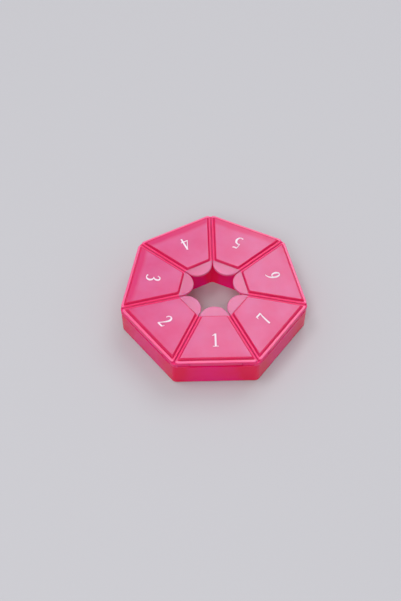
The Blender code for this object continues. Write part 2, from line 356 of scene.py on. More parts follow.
@dataclass
class Sizes:
    """Sizes that the tray and the lids share, in millimetres."""

    ring: Ring
    barrel_radius: float = 1.15
    outer_wall: float = 2.4
    inner_wall: float = 1.6
    divider_wall: float = 1.6
    hole_radius: float = 18.3
    knuckle_length: float = 26.4
    pin_radius: float = 0.5
    pin_clearance: float = 0.06
    pocket_rounding: float = 2.0
    barrel_steps: int = 32
    bore_steps: int = 24

    @property
    def apothem(self) -> float:
        """Distance out to the flat of an outer edge."""
        return self.ring.hinge_out + self.barrel_radius

    @property
    def radius(self) -> float:
        """Distance out to a sharp outer corner."""
        return self.apothem / math.cos(HALF_TURN)

    @property
    def tray_top(self) -> float:
        """Height of the tray's walls."""
        return self.ring.hinge_up + self.barrel_radius

    @property
    def pocket_ends(self) -> tuple[float, float]:
        """Distances out of a compartment's inner and outer walls."""
        inner = self.hole_radius * math.cos(HALF_TURN) + self.inner_wall
        return inner, self.apothem - self.outer_wall

    def to_hinge(self, bm: BMesh) -> None:
        """Moves a shape drawn about the hinge's axis to that axis."""
        rise = Vector((0, -self.ring.hinge_out, self.ring.hinge_up))
        bmesh.ops.translate(bm, verts=bm.verts, vec=rise)


@dataclass
class Lid:
    """One moulded lid, drawn for the sector that faces -Y."""

    sizes: Sizes
    gap: float = 0.3
    plate: float = 1.2
    edge_radius: float = 0.45
    corner_radius: float = 1.5
    seam_gap: float = 0.5
    tab_centre_out: float = 18.65
    tab_steps: int = 48
    panel_margin: float = 1.25
    panel_inner_out: float = 17.0
    panel_rise: float = 1.2
    panel_draft: float = 0.7
    panel_skin: float = 1.2
    panel_rounding: float = 0.7
    panel_edge: float = 0.25
    panel_band: float = 0.3
    ink: float = 0.04
    skirt_depth: float = 2.0
    skirt_wall: float = 1.0
    skirt_clearance: float = 0.3
    skirt_edge: float = 0.2
    recess_rounding: float = 0.5
    steps: list = field(default_factory=list)

    @property
    def bottom(self) -> float:
        """Height of the plate's underside."""
        return self.sizes.tray_top + self.gap

    @property
    def top(self) -> float:
        """Height of the plate's top."""
        return self.bottom + self.plate

    @property
    def panel_top(self) -> float:
        """Height of the raised panel, which leaves room for the ink on it."""
        return self.top + self.panel_rise - self.ink

    @property
    def skirt_ends(self) -> tuple[float, float]:
        """Where the skirt ends, clear of the tray as the lid swings.

        Returns:
            The distances out of its inner and outer ends.
        """
        sizes = self.sizes
        behind = sizes.outer_wall - sizes.barrel_radius
        swing = math.hypot(behind, sizes.barrel_radius)
        inner = sizes.pocket_ends[0] + self.skirt_clearance
        return inner, sizes.ring.hinge_out - swing - self.skirt_clearance

    def keep(self, cut: Cut, bm: BMesh, name: str) -> None:
        """Keeps a shape as a step in the making of the lid."""
        self.steps.append((cut, to_object(bm, name)))

    def make_plate(self) -> Object:
        """Makes the flat plate with its round finger tab.

        Returns:
            The plate.
        """
        sizes = self.sizes
        inset = self.seam_gap / 2
        radius = self.tab_centre_out * math.sin(HALF_TURN) - inset
        centre = Vector((0, -self.tab_centre_out, self.bottom))
        start = centre + radius * Vector((-math.cos(HALF_TURN), math.sin(HALF_TURN), 0))
        bm = bmesh.new()
        ends = draw_arc(bm, start, centre, (0, 0, -1), math.pi - TURN, self.tab_steps)
        ends.sort(key=lambda v: v.co.x)
        across = half_width(sizes.apothem, inset)
        outer = [bm.verts.new((side * across, -sizes.apothem, self.bottom)) for side in (-1, 1)]
        extrude_outline(bm, ends, outer, Vector((0, 0, self.plate)))
        corners = [e for e in upright_edges(bm) if e.verts[0].co.y < -sizes.apothem + MATCH]
        rounding = tangent_length(self.corner_radius, math.pi / 2 + HALF_TURN)
        round_edges(bm, corners, rounding, CORNER_STEPS)
        round_edges(bm, level_edges(bm, self.top), self.edge_radius, EDGE_STEPS)
        return to_object(bm, "plate")

    def join_panel(self) -> None:
        """Joins the raised panel, whose sides lean in from the plate up."""
        sunk = self.panel_draft * OVERRUN / self.panel_rise
        inset = self.panel_margin - sunk
        ends = (self.panel_inner_out - sunk, self.sizes.apothem - inset)
        heights = (self.top - OVERRUN, self.panel_top)
        bm = wedge(ends, inset, heights, self.panel_rounding, self.panel_draft + sunk)
        round_edges(bm, level_edges(bm, self.panel_top), self.panel_edge, EDGE_STEPS)
        top = [f for f in bm.faces if f.calc_center_median().z > self.panel_top - MATCH]
        # The inset's band along the outer side is given the step's painted shade.
        bmesh.ops.inset_region(bm, faces=top, thickness=self.panel_band, use_even_offset=True)
        self.keep(Cut.JOIN, bm, "panel")

    def join_skirt(self) -> None:
        """Joins the block that the skirt is cut from."""
        sizes = self.sizes
        inset = sizes.divider_wall / 2 + self.skirt_clearance
        heights = (self.bottom - self.skirt_depth, self.bottom + OVERRUN)
        rounding = sizes.pocket_rounding - self.skirt_clearance
        bm = wedge(self.skirt_ends, inset, heights, rounding)
        round_edges(bm, level_edges(bm, heights[0]), self.skirt_edge, EDGE_STEPS)
        self.keep(Cut.JOIN, bm, "skirt")

    def cut_hollow(self) -> None:
        """Cuts the space inside the skirt."""
        sizes = self.sizes
        inner, outer = self.skirt_ends
        inset = sizes.divider_wall / 2 + self.skirt_clearance + self.skirt_wall
        ends = (inner + self.skirt_wall, outer - self.skirt_wall)
        heights = (self.bottom - self.skirt_depth - OVERRUN, self.bottom)
        rounding = sizes.pocket_rounding - self.skirt_clearance - self.skirt_wall
        self.keep(Cut.REMOVE, wedge(ends, inset, heights, rounding), "hollow")

    def cut_recess(self) -> None:
        """Cuts the recess under the raised panel."""
        inward = self.panel_draft + self.panel_skin
        inset = self.panel_margin + inward
        inner, outer = self.skirt_ends
        inner = max(inner + self.skirt_wall, self.panel_inner_out + inward)
        outer = min(outer - self.skirt_wall, self.sizes.apothem - inset)
        heights = (self.bottom - OVERRUN, self.top + self.panel_rise - self.panel_skin)
        bm = wedge((inner, outer), inset, heights, self.recess_rounding)
        self.keep(Cut.REMOVE, bm, "recess")

    def join_knuckle(self) -> None:
        """Joins the long knuckle that hangs from the plate round the pin."""
        sizes = self.sizes
        half = sizes.knuckle_length / 2
        bm = bmesh.new()
        start = Vector((-half, sizes.barrel_radius, 0))
        ends = draw_arc(bm, start, Vector(), (-1, 0, 0), math.pi, sizes.barrel_steps // 2)
        ends.sort(key=lambda v: v.co.y)
        rise = self.bottom + OVERRUN - sizes.ring.hinge_up
        top = [bm.verts.new((-half, end.co.y, rise)) for end in ends]
        extrude_outline(bm, ends, top, Vector((sizes.knuckle_length, 0, 0)))
        sizes.to_hinge(bm)
        self.keep(Cut.JOIN, bm, "knuckle")

    def cut_bore(self) -> None:
        """Cuts the bore for the pin."""
        sizes = self.sizes
        bm = bmesh.new()
        half = sizes.knuckle_length / 2 + OVERRUN
        rod(bm, sizes.pin_radius + sizes.pin_clearance, (-half, half), sizes.bore_steps)
        sizes.to_hinge(bm)
        self.keep(Cut.REMOVE, bm, "bore")

    def make_mesh(self) -> Mesh:
        """Makes the whole lid's mesh.

        Returns:
            The mesh, in millimetres.
        """
        self.join_panel()
        self.join_skirt()
        self.join_knuckle()
        self.cut_hollow()
        self.cut_recess()
        self.cut_bore()
        mesh = carve(self.make_plate(), self.steps)
        self.sort_faces(mesh)
        return mesh

    def sort_faces(self, mesh: Mesh) -> None:
        """Gives each face of the lid the finish of its part, most of them copies of one plastic with
        painted light and shade.

        The panel's flat top is satin. The finger tab and the panel's underside
        are clear. The tab's edge, the sides along the seams and the strip outside
        the panel are paler, a painted highlight and sheen that also lightens the
        shade in the seams. The panel's steep sides are the deepest, painted shade,
        with a narrow band of its top along the outer side. The rest stands over the
        skirt and the tray's walls, and is painted deeper, as shade.

        Args:
            mesh: The lid's mesh, which gets a cut between border and tab.
        """
        bm = bmesh.new()
        bm.from_mesh(mesh)
        split = Vector((0, -self.panel_inner_out, 0))
        whole = bm.verts[:] + bm.edges[:] + bm.faces[:]
        bmesh.ops.bisect_plane(bm, geom=whole, dist=MATCH, plane_co=split, plane_no=(0, 1, 0))
        ceiling = self.top + self.panel_rise - self.panel_skin
        front = self.panel_margin - self.sizes.apothem
        band_end = front + self.panel_draft + self.panel_edge + self.panel_band
        for face in bm.faces:
            centre = face.calc_center_median()
            under_panel = abs(centre.z - ceiling) < MATCH and face.normal.z < 0
            above = max(vert.co.z for vert in face.verts)
            in_plate = centre.z > self.bottom - MATCH
            upright = abs(face.normal.z) < UPRIGHT
            rising = face.normal.z > RISING
            in_tab = in_plate and centre.y > split.y
            # STEP is painted shade, RIM a painted highlight and sheen, and BORDER a deeper painted
            # shade.
            if centre.z > self.panel_top - MATCH and centre.y > band_end - MATCH:
                zone = LidZone.PANEL
            elif self.top + MATCH < above:
                zone = LidZone.STEP
            elif under_panel or (in_tab and not upright):
                zone = LidZone.TAB
            elif in_plate and (in_tab or (rising if centre.y < front else upright)):
                zone = LidZone.RIM
            else:
                zone = LidZone.BORDER
            face.material_index = zone.value
        bm.to_mesh(mesh)
        bm.free()

    def dress(self, finishes: list[Material], ink: Material) -> None:
        """Puts a lid with its number over each compartment, on its own body.

        Args:
            finishes: The materials of the lid's zones, in their order.
            ink: The material of the numbers.
        """
        mesh = self.make_mesh()
        for index in range(SIDES):
            name = f"lid_{index + 1}"
            turn = self.sizes.ring.sector(index)
            piece = place_piece(mesh, f"{name}_shell", turn, finishes)
            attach(piece, name)
            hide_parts(name)
            number = Numeral(index + 1, self.panel_top, self.ink)
            printed = place_piece(number.make_mesh(), f"numeral_{index + 1}", turn, [ink])
            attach(printed, name)


@dataclass(frozen=True)
class Stroke:
    """One stroke of a numeral, on a height of one."""

    points: tuple[tuple[float, float, float], ...]
    curved: bool = True

    def smooth_points(self, steps: int) -> list[Vector]:
        """Gives the stroke's points, with more between them where it is curved.

        Args:
            steps: How many pieces each span is cut into.

        Returns:
            Points of across, up and half the stroke's width.
        """
        given = [Vector(point) for point in self.points]
        if not self.curved:
            return given
        ends = [2 * given[0] - given[1], *given, 2 * given[-1] - given[-2]]
        fine = []
        for i in range(1, len(ends) - 2):
            before, start, end, after = ends[i - 1 : i + 3]
            for step in range(steps):
                t = step / steps
                bend = (end - before) * t
                bend += (2 * before - 5 * start + 4 * end - after) * t**2
                bend += (3 * start - before - 3 * end + after) * t**3
                fine.append(start + bend / 2)
        return [*fine, given[-1]]


STROKES = {
    1: (
        Stroke(((0.08, 0.84, 0.016), (0.2, 0.9, 0.03), (0.31, 0.985, 0.016))),
        Stroke(((0.29, 0.99, 0.056), (0.29, 0.01, 0.056)), False),
        Stroke(((0.1, 0.02, 0.02), (0.48, 0.02, 0.02)), False),
    ),
    2: (
        Stroke((
            (0.06, 0.73, 0.03), (0.1, 0.87, 0.034), (0.22, 0.965, 0.034), (0.36, 0.92, 0.056),
            (0.42, 0.76, 0.066), (0.36, 0.56, 0.054), (0.21, 0.31, 0.03), (0.06, 0.08, 0.022),
        )),
        Stroke(((0.03, 0.052, 0.052), (0.42, 0.052, 0.052)), False),
        Stroke(((0.4, 0.06, 0.03), (0.45, 0.12, 0.022), (0.485, 0.23, 0.014))),
    ),
    3: (
        Stroke((
            (0.06, 0.78, 0.022), (0.13, 0.91, 0.03), (0.25, 0.965, 0.034), (0.37, 0.88, 0.058),
            (0.37, 0.71, 0.056), (0.29, 0.58, 0.032), (0.17, 0.52, 0.018),
        )),
        Stroke((
            (0.17, 0.53, 0.018), (0.31, 0.51, 0.034), (0.42, 0.4, 0.06), (0.44, 0.23, 0.066),
            (0.35, 0.08, 0.044), (0.2, 0.03, 0.028), (0.06, 0.09, 0.05),
        )),
    ),
    4: (
        Stroke(((0.37, 0.96, 0.024), (0.05, 0.3, 0.024)), False),
        Stroke(((0.02, 0.29, 0.034), (0.52, 0.29, 0.034)), False),
        Stroke(((0.37, 0.99, 0.056), (0.37, 0.0, 0.056)), False),
    ),
    5: (
        Stroke(((0.15, 0.94, 0.05), (0.4, 0.94, 0.05)), False),
        Stroke(((0.39, 0.94, 0.046), (0.44, 0.96, 0.03), (0.47, 1.0, 0.014))),
        Stroke(((0.16, 0.95, 0.022), (0.1, 0.56, 0.022)), False),
        Stroke((
            (0.09, 0.57, 0.02), (0.24, 0.59, 0.04), (0.38, 0.5, 0.062), (0.43, 0.31, 0.068),
            (0.36, 0.12, 0.046), (0.21, 0.03, 0.028), (0.06, 0.08, 0.05),
        )),
    ),
    6: (
        Stroke((
            (0.45, 0.975, 0.014), (0.29, 0.88, 0.034), (0.15, 0.68, 0.054), (0.09, 0.36, 0.066),
            (0.15, 0.12, 0.05), (0.27, 0.03, 0.028), (0.39, 0.11, 0.05), (0.43, 0.3, 0.066),
            (0.38, 0.48, 0.05), (0.27, 0.56, 0.028), (0.16, 0.5, 0.02), (0.1, 0.4, 0.02),
        )),
    ),
    7: (
        Stroke(((0.05, 0.94, 0.052), (0.48, 0.94, 0.052)), False),
        Stroke(((0.08, 0.95, 0.03), (0.055, 0.86, 0.022), (0.03, 0.76, 0.014))),
        Stroke(((0.455, 0.93, 0.026), (0.34, 0.58, 0.044), (0.22, 0.0, 0.056))),
    ),
}


@dataclass
class Numeral:
    """One number printed on a lid, with its top towards the middle."""

    number: int
    ground: float
    ink: float
    height: float = 7.8
    centre_out: float = 32.3
    sink: float = 0.02
    span_steps: int = 6
    half: float = 0.5

    def make_stroke(self, stroke: Stroke, middle: float) -> Object:
        """Makes one stroke of ink.

        Args:
            stroke: The stroke on a height of one.
            middle: Where the numeral's middle lies across that height.

        Returns:
            The stroke as an object.
        """
        points = stroke.smooth_points(self.span_steps)
        bm = bmesh.new()
        rails: list[list] = [[], []]
        for i, point in enumerate(points):
            way = points[min(i + 1, len(points) - 1)] - points[max(i - 1, 0)]
            aside = Vector((-way.y, way.x)).normalized() * point.z
            for side, rail in zip((1, -1), rails):
                flat = point.to_2d() + side * aside
                across = (flat.x - middle) * self.height
                up = (flat.y - self.half) * self.height - self.centre_out
                rail.append(bm.verts.new((across, up, self.ground - self.sink)))
        edges = [bm.edges.new(pair) for rail in rails for pair in zip(rail, rail[1:])]
        faces = bmesh.ops.bridge_loops(bm, edges=edges)["faces"]
        raise_faces(bm, faces, Vector((0, 0, self.sink + self.ink)))
        return to_object(bm, "stroke")

    def make_mesh(self) -> Mesh:
        """Makes the numeral, with its strokes joined.

        Returns:
            Its mesh, in millimetres.
        """
        strokes = STROKES[self.number]
        reach = [point[0] for stroke in strokes for point in stroke.points]
        middle = (min(reach) + max(reach)) / 2
        items = [self.make_stroke(stroke, middle) for stroke in strokes]
        return carve(items[0], [(Cut.JOIN, item) for item in items[1:]])


@dataclass
class Tray:
    """The moulded tray of seven compartments."""

    sizes: Sizes
    draft: float = 0.25
    corner_radius: float = 3.1
    foot_radius: float = 0.7
    rim_radius: float = 0.25
    floor: float = 1.6
    hole_corner: float = 2.2
    pocket_floor: float = 1.2
    end_gap: float = 0.3
    clearance: float = 0.3
    corner_post: float = 2.4
    pin_end_gap: float = 0.3
    open_limit: float = math.radians(100)
    steps: list = field(default_factory=list)

    @property
    def nose_end(self) -> float:
        """How far across a sector the tray's knuckles reach."""
        return self.sizes.apothem * math.tan(HALF_TURN) - self.corner_post

    def cut(self, bm: BMesh, index: int, name: str) -> None:
        """Keeps a shape as a cut in one sector of the tray."""
        bmesh.ops.transform(bm, matrix=Matrix.Rotation(-index * TURN, 4, "Z"), verts=bm.verts)
        self.steps.append((Cut.REMOVE, to_object(bm, f"{name}_{index + 1}")))

    def add_prism(self, bm: BMesh, foot: float, top: float, extra: float) -> None:
        """Adds a seven-sided prism as high as the tray.

        Args:
            bm: The shape to add to.
            foot: The circumradius of its foot.
            top: The circumradius of its top.
            extra: How far it runs on past the tray at both ends.
        """
        height = self.sizes.tray_top
        bmesh.ops.create_cone(
            bm, cap_ends=True, segments=SIDES, radius1=foot, radius2=top,
            depth=height + 2 * extra, matrix=Matrix.Translation((0, 0, height / 2)),
        )

    def make_body(self) -> Object:
        """Makes the tapered seven-sided block with its rounded corners.

        Returns:
            The block.
        """
        sizes = self.sizes
        bm = bmesh.new()
        foot = sizes.radius - self.draft / math.cos(HALF_TURN)
        self.add_prism(bm, foot, sizes.radius, 0.0)
        rounding = tangent_length(self.corner_radius, TURN)
        round_edges(bm, upright_edges(bm), rounding, CORNER_STEPS)
        round_edges(bm, level_edges(bm, 0.0), self.foot_radius, 2 * EDGE_STEPS)
        round_edges(bm, level_edges(bm, sizes.tray_top), self.rim_radius, EDGE_STEPS)
        return to_object(bm, "body")

    def cut_hole(self) -> None:
        """Cuts the seven-sided hole in the middle."""
        sizes = self.sizes
        bm = bmesh.new()
        self.add_prism(bm, sizes.hole_radius, sizes.hole_radius, OVERRUN)
        rounding = tangent_length(self.hole_corner, TURN)
        round_edges(bm, upright_edges(bm), rounding, CORNER_STEPS)
        self.cut(bm, 0, "hole")

    def cut_pocket(self, index: int) -> None:
        """Cuts one compartment.

        Args:
            index: The sector.
        """
        sizes = self.sizes
        heights = (self.floor, sizes.tray_top + OVERRUN)
        bm = wedge(sizes.pocket_ends, sizes.divider_wall / 2, heights, sizes.pocket_rounding)
        round_edges(bm, level_edges(bm, self.floor), self.pocket_floor, 2 * EDGE_STEPS)
        self.cut(bm, index, "pocket")

    def cut_bay(self, index: int) -> None:
        """Cuts the bay for a lid's knuckle, with a floor that leans as its stop.

        Args:
            index: The sector.
        """
        sizes = self.sizes
        bm = bmesh.new()
        half = sizes.knuckle_length / 2 + self.end_gap
        depth = sizes.barrel_radius + self.clearance
        reach = sizes.outer_wall + sizes.barrel_radius
        box(bm, (-half, -reach, -depth), (half, reach, reach))
        lean = Matrix.Rotation(self.open_limit - math.pi / 2, 4, "X")
        bmesh.ops.transform(bm, matrix=lean, verts=bm.verts)
        sizes.to_hinge(bm)
        self.cut(bm, index, "bay")

    def cut_nose(self, index: int, side: int) -> None:
        """Cuts round the nose of one of the tray's knuckles.

        Args:
            index: The sector.
            side: -1 or 1, for the left or right end of its hinge.
        """
        sizes = self.sizes
        near, far = sorted((side * sizes.knuckle_length / 2, side * self.nose_end))
        depth = sizes.barrel_radius + self.clearance
        reach = sizes.outer_wall + sizes.barrel_radius
        bm = bmesh.new()
        box(bm, (near, -reach, -depth), (far, 0, reach))
        space = to_object(bm, "space")
        bm = bmesh.new()
        rod(bm, sizes.barrel_radius, (near - OVERRUN, far + OVERRUN), sizes.barrel_steps)
        mesh = carve(space, [(Cut.REMOVE, to_object(bm, "barrel"))])
        bm = bmesh.new()
        bm.from_mesh(mesh)
        sizes.to_hinge(bm)
        self.cut(bm, index, f"nose_{'left' if side < 0 else 'right'}")

    def cut_bore(self, index: int) -> None:
        """Cuts one pin's bore, from its mouth by a corner to its blind end.

        Args:
            index: The sector.
        """
        sizes = self.sizes
        bm = bmesh.new()
        half_side = sizes.apothem * math.tan(HALF_TURN)
        mouth = half_side + sizes.barrel_radius / math.tan(TURN) + sizes.barrel_radius
        span = (-self.nose_end - self.pin_end_gap, mouth)
        rod(bm, sizes.pin_radius + sizes.pin_clearance, span, sizes.bore_steps)
        sizes.to_hinge(bm)
        self.cut(bm, index, "bore")

    def sort_faces(self, mesh: Mesh) -> None:
        """Gives the hole's walls, and the rim with the hinges, their own finishes, paler copies of the
        walls' plastic with painted light.

        Args:
            mesh: The tray's mesh, about the ring's axis, which gets a cut below
                the hinges.
        """
        sizes = self.sizes
        hinge_foot = sizes.ring.hinge_up - sizes.barrel_radius - self.clearance
        bm = bmesh.new()
        bm.from_mesh(mesh)
        split = Vector((0, 0, hinge_foot))
        whole = bm.verts[:] + bm.edges[:] + bm.faces[:]
        bmesh.ops.bisect_plane(bm, geom=whole, dist=MATCH, plane_co=split, plane_no=(0, 0, 1))
        for face in bm.faces:
            centre = face.calc_center_median()
            away = centre.to_2d()
            inwards = away.dot(face.normal.to_2d()) < -MATCH
            outside = away.length > sizes.pocket_ends[1]
            # The hole's walls, the rim with the hinges and the dividers' tops get paler copies of the
            # plastic: painted light that lifts their shade.
            if inwards and away.length < sizes.pocket_ends[0] + MATCH:
                zone = TrayZone.HOLE
            elif centre.z > hinge_foot and (outside or face.normal.z > LEVEL_UP):
                zone = TrayZone.TOP
            else:
                zone = TrayZone.WALL
            face.material_index = zone.value
        bm.to_mesh(mesh)
        bm.free()

    def dress(self, finishes: list[Material]) -> None:
        """Makes the tray and puts it in the place of its plain solid.

        Args:
            finishes: The materials of the tray's zones, in their order.
        """
        self.cut_hole()
        for index in range(SIDES):
            self.cut_pocket(index)
            self.cut_bay(index)
            self.cut_nose(index, -1)
            self.cut_nose(index, 1)
            self.cut_bore(index)
        mesh = carve(self.make_body(), self.steps)
        self.sort_faces(mesh)
        place = Matrix.Translation(self.sizes.ring.centre)
        piece = place_piece(mesh, "tray_shell", place, finishes)
        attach(piece, "tray")
        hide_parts("tray")


def fill_inputs(tree: NodeTree, node: Node, given: dict) -> None:
    """Fills a node's inputs.

    Args:
        tree: The node tree that the node is in.
        node: The node.
        given: A value, or another node's output, by its input's name or number.
    """
    for socket, value in given.items():
        if isinstance(value, NodeSocket):
            tree.links.new(value, node.inputs[socket])
        else:
            node.inputs[socket].default_value = value


def add_node(tree: NodeTree, kind: str, given: dict, **settings: str) -> Node:
    """Adds a node with its inputs filled.

    Args:
        tree: The node tree to add to.
        kind: The node's type.
        given: What goes in, as fill_inputs takes it.
        settings: The node's own settings, which come first.

    Returns:
        The node.
    """
    node = tree.nodes.new(kind)
    for name, value in settings.items():
        setattr(node, name, value)
    fill_inputs(tree, node, given)
    return node


def add_maths(tree: NodeTree, operation: str, *terms: object) -> NodeSocket:
    """Adds a maths node.

    Args:
        tree: The node tree to add to.
        operation: What it does.
        terms: Its terms in order, each a number or another node's output.

    Returns:
        Its output.
    """
    node = add_node(tree, "ShaderNodeMath", dict(enumerate(terms)), operation=operation)
    return node.outputs["Value"]


@dataclass(frozen=True, kw_only=True)
class Finish:
    """A surface with the clouding, the handling marks and the painted shade that all of them share."""

    name: str
    tint: tuple[float, float, float]
    deep_tint: tuple[float, float, float]
    roughness: float
    polish: float
    cloud_scale: float = 60.0
    # How much painted shade deepens the colour at the ring's corners and towards the outer sides.
    corner_shade: float = 0.0
    edge_shade: float = 0.0

    def make(self, wear_and_shade: NodeTree) -> Material:
        """Makes the material.

        Args:
            wear_and_shade: The shared node group of haze, handling marks and painted shade.

        Returns:
            The material.
        """
        material = bpy.data.materials.new(self.name)
        material.use_nodes = True
        tree = material.node_tree
        place = tree.nodes.new("ShaderNodeTexCoord")
        effect = tree.nodes.new("ShaderNodeGroup")
        effect.node_tree = wear_and_shade
        marks = {
            "Place": place.outputs["Object"],
            "Tint": (*self.tint, 1),
            "Deep Tint": (*self.deep_tint, 1),
            "Cloud Scale": self.cloud_scale,
            "Corner Shade": self.corner_shade,
            "Edge Shade": self.edge_shade,
            "Polish": self.polish,
            "Roughness": self.roughness,
        }
        fill_inputs(tree, effect, marks)
        surface_out = effect.outputs
        look = {"Base Color": surface_out["Colour"], "Roughness": surface_out["Roughness"]}
        look |= self.depth(tree, surface_out["Height"])
        fill_inputs(tree, tree.nodes["Principled BSDF"], look)
        return material

    def depth(self, tree: NodeTree, waves: NodeSocket) -> dict:
        """Gives what only a clear material has."""
        return {}


@dataclass(frozen=True, kw_only=True)
class TintedPlastic(Finish):
    """Clear plastic with a tint in it, and a little haze."""

    clearness: float = 0.0
    glow: float = 1.0
    glow_depth: float = 1.5
    glow_reach: tuple[float, float, float] = (1.0, 0.35, 0.55)
    gloss: float = 0.4
    refraction: float = 1.5
    waviness: float = 0.08
    wave_height: float = 0.02

    def depth(self, tree: NodeTree, waves: NodeSocket) -> dict:
        """Gives what only a clear material has.

        Args:
            tree: The material's node tree.
            waves: The height of its waviness.

        Returns:
            The inputs of its shader, as fill_inputs takes them.
        """
        given = {"Strength": self.waviness, "Distance": self.wave_height * MM, "Height": waves}
        return {
            "IOR": self.refraction,
            "Specular IOR Level": self.gloss,
            "Transmission Weight": self.clearness,
            "Subsurface Weight": self.glow,
            "Subsurface Radius": self.glow_reach,
            "Subsurface Scale": self.glow_depth * MM,
            "Normal": add_node(tree, "ShaderNodeBump", given).outputs["Normal"],
        }


TRAY_PAINTED_LIGHT_FINISHES = {
    # The walls' banding is painted shade at the ring's corners.
    TrayZone.WALL: TintedPlastic(
        name="tray_plastic", tint=(0.86, 0.0048, 0.2), deep_tint=(0.81, 0.001, 0.075),
        clearness=0.05, roughness=0.12, polish=0.08, gloss=0.2, corner_shade=0.8,
    ),
    # Painted light: the hole's walls are a paler copy of the plastic, as if lit more.
    TrayZone.HOLE: TintedPlastic(
        name="tray_hole", tint=(1.0, 0.004, 0.3), deep_tint=(1.0, 0.002, 0.11),
        roughness=0.2, polish=0.08, glow_depth=0.1, gloss=0.1, corner_shade=0.8,
    ),
    # Painted light: the rim with the hinges and the dividers' tops are a paler copy, lifting the shade
    # under the knuckles and in the seams.
    TrayZone.TOP: TintedPlastic(
        name="tray_top", tint=(0.85, 0.03, 0.19), deep_tint=(0.8, 0.02, 0.15),
        roughness=0.14, polish=0.08, gloss=0.2,
    ),
}
LID_PAINTED_LIGHT_FINISHES = {
    # The panel's edging is painted shade towards the outer sides.
    LidZone.PANEL: TintedPlastic(
        name="lid_panel", tint=(1.0, 0.18, 0.425), deep_tint=(1.0, 0.05, 0.25),
        clearness=0.35, roughness=0.16, polish=0.08, edge_shade=1.0,
    ),
    LidZone.TAB: TintedPlastic(
        name="lid_tab", tint=(1.0, 0.26, 0.51), deep_tint=(1.0, 0.22, 0.47),
        clearness=0.5, roughness=0.08, polish=0.04,
    ),
    # Painted shade: the border is a deeper copy of the plastic.
    LidZone.BORDER: TintedPlastic(
        name="lid_border", tint=(0.8, 0.055, 0.2), deep_tint=(0.76, 0.045, 0.17),
        roughness=0.1, polish=0.06, gloss=0.15,
    ),
    # Painted highlight and sheen: the rim is a paler copy of the plastic.
    LidZone.RIM: TintedPlastic(
        name="lid_rim", tint=(0.92, 0.15, 0.34), deep_tint=(0.9, 0.12, 0.3),
        clearness=0.05, roughness=0.14, polish=0.06,
    ),
    # Painted shade: the step is the deepest copy of the plastic.
    LidZone.STEP: TintedPlastic(
        name="lid_step", tint=(0.68, 0.02, 0.12), deep_tint=(0.64, 0.015, 0.1),
        clearness=0.1, roughness=0.1, polish=0.06, gloss=0.15,
    ),
}
PIN_FINISH = TintedPlastic(
    name="pin_plastic", tint=(1.0, 0.06, 0.26), deep_tint=(0.95, 0.04, 0.22),
    clearness=0.4, roughness=0.2, polish=0.1,
)
INK_FINISH = Finish(
    name="white_ink", tint=(0.84, 0.7, 0.77), deep_tint=(0.82, 0.6, 0.7),
    roughness=0.4, polish=0.15, cloud_scale=700.0,
)


